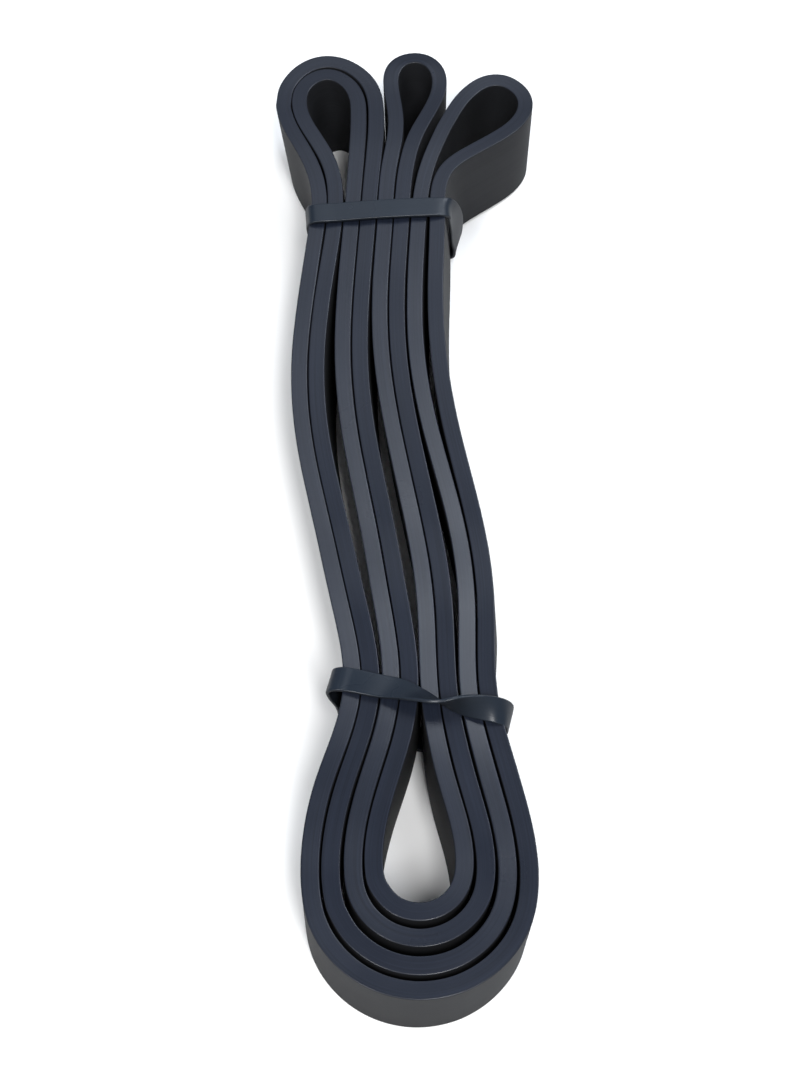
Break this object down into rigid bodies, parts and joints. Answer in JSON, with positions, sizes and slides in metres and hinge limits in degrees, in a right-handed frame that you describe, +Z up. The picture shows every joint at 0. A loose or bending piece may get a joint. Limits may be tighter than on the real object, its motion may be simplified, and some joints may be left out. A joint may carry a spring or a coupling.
{
  "type": "folded loop resistance strap",
  "caption": "Flat endless rubber exercise strap on edge, folded into a long bundle with nested turns at one end and loops at the other, held by two thin rubber ties.",
  "frame": {"origin": "on the surface the bundle lies on, under the middle of its box", "axes": "+Z up, +Y along the bundle from the nested turns to the three loops, +X to the right seen from above with the loops at the far end"},
  "size_m": [0.068, 0.2582, 0.0285],
  "materials": {
    "strap_rubber": "matte charcoal latex with a slight sheen",
    "tie_rubber": "smooth satin dark blue-grey rubber"
  },
  "bodies": {
    "strap": {"loop_strap": "strap_rubber"},
    "far_tie": {"far_tie": "tie_rubber"},
    "near_tie": {"near_tie": "tie_rubber"}
  },
  "joints": [
    {"name": "far_tie_slide", "type": "slide", "parent": "strap", "child": "far_tie", "axis": [0, 1, 0], "range_m": [-0.004, 0.004]},
    {"name": "near_tie_slide", "type": "slide", "parent": "strap", "child": "near_tie", "axis": [0, 1, 0], "range_m": [-0.002, 0.01]}
  ]
}
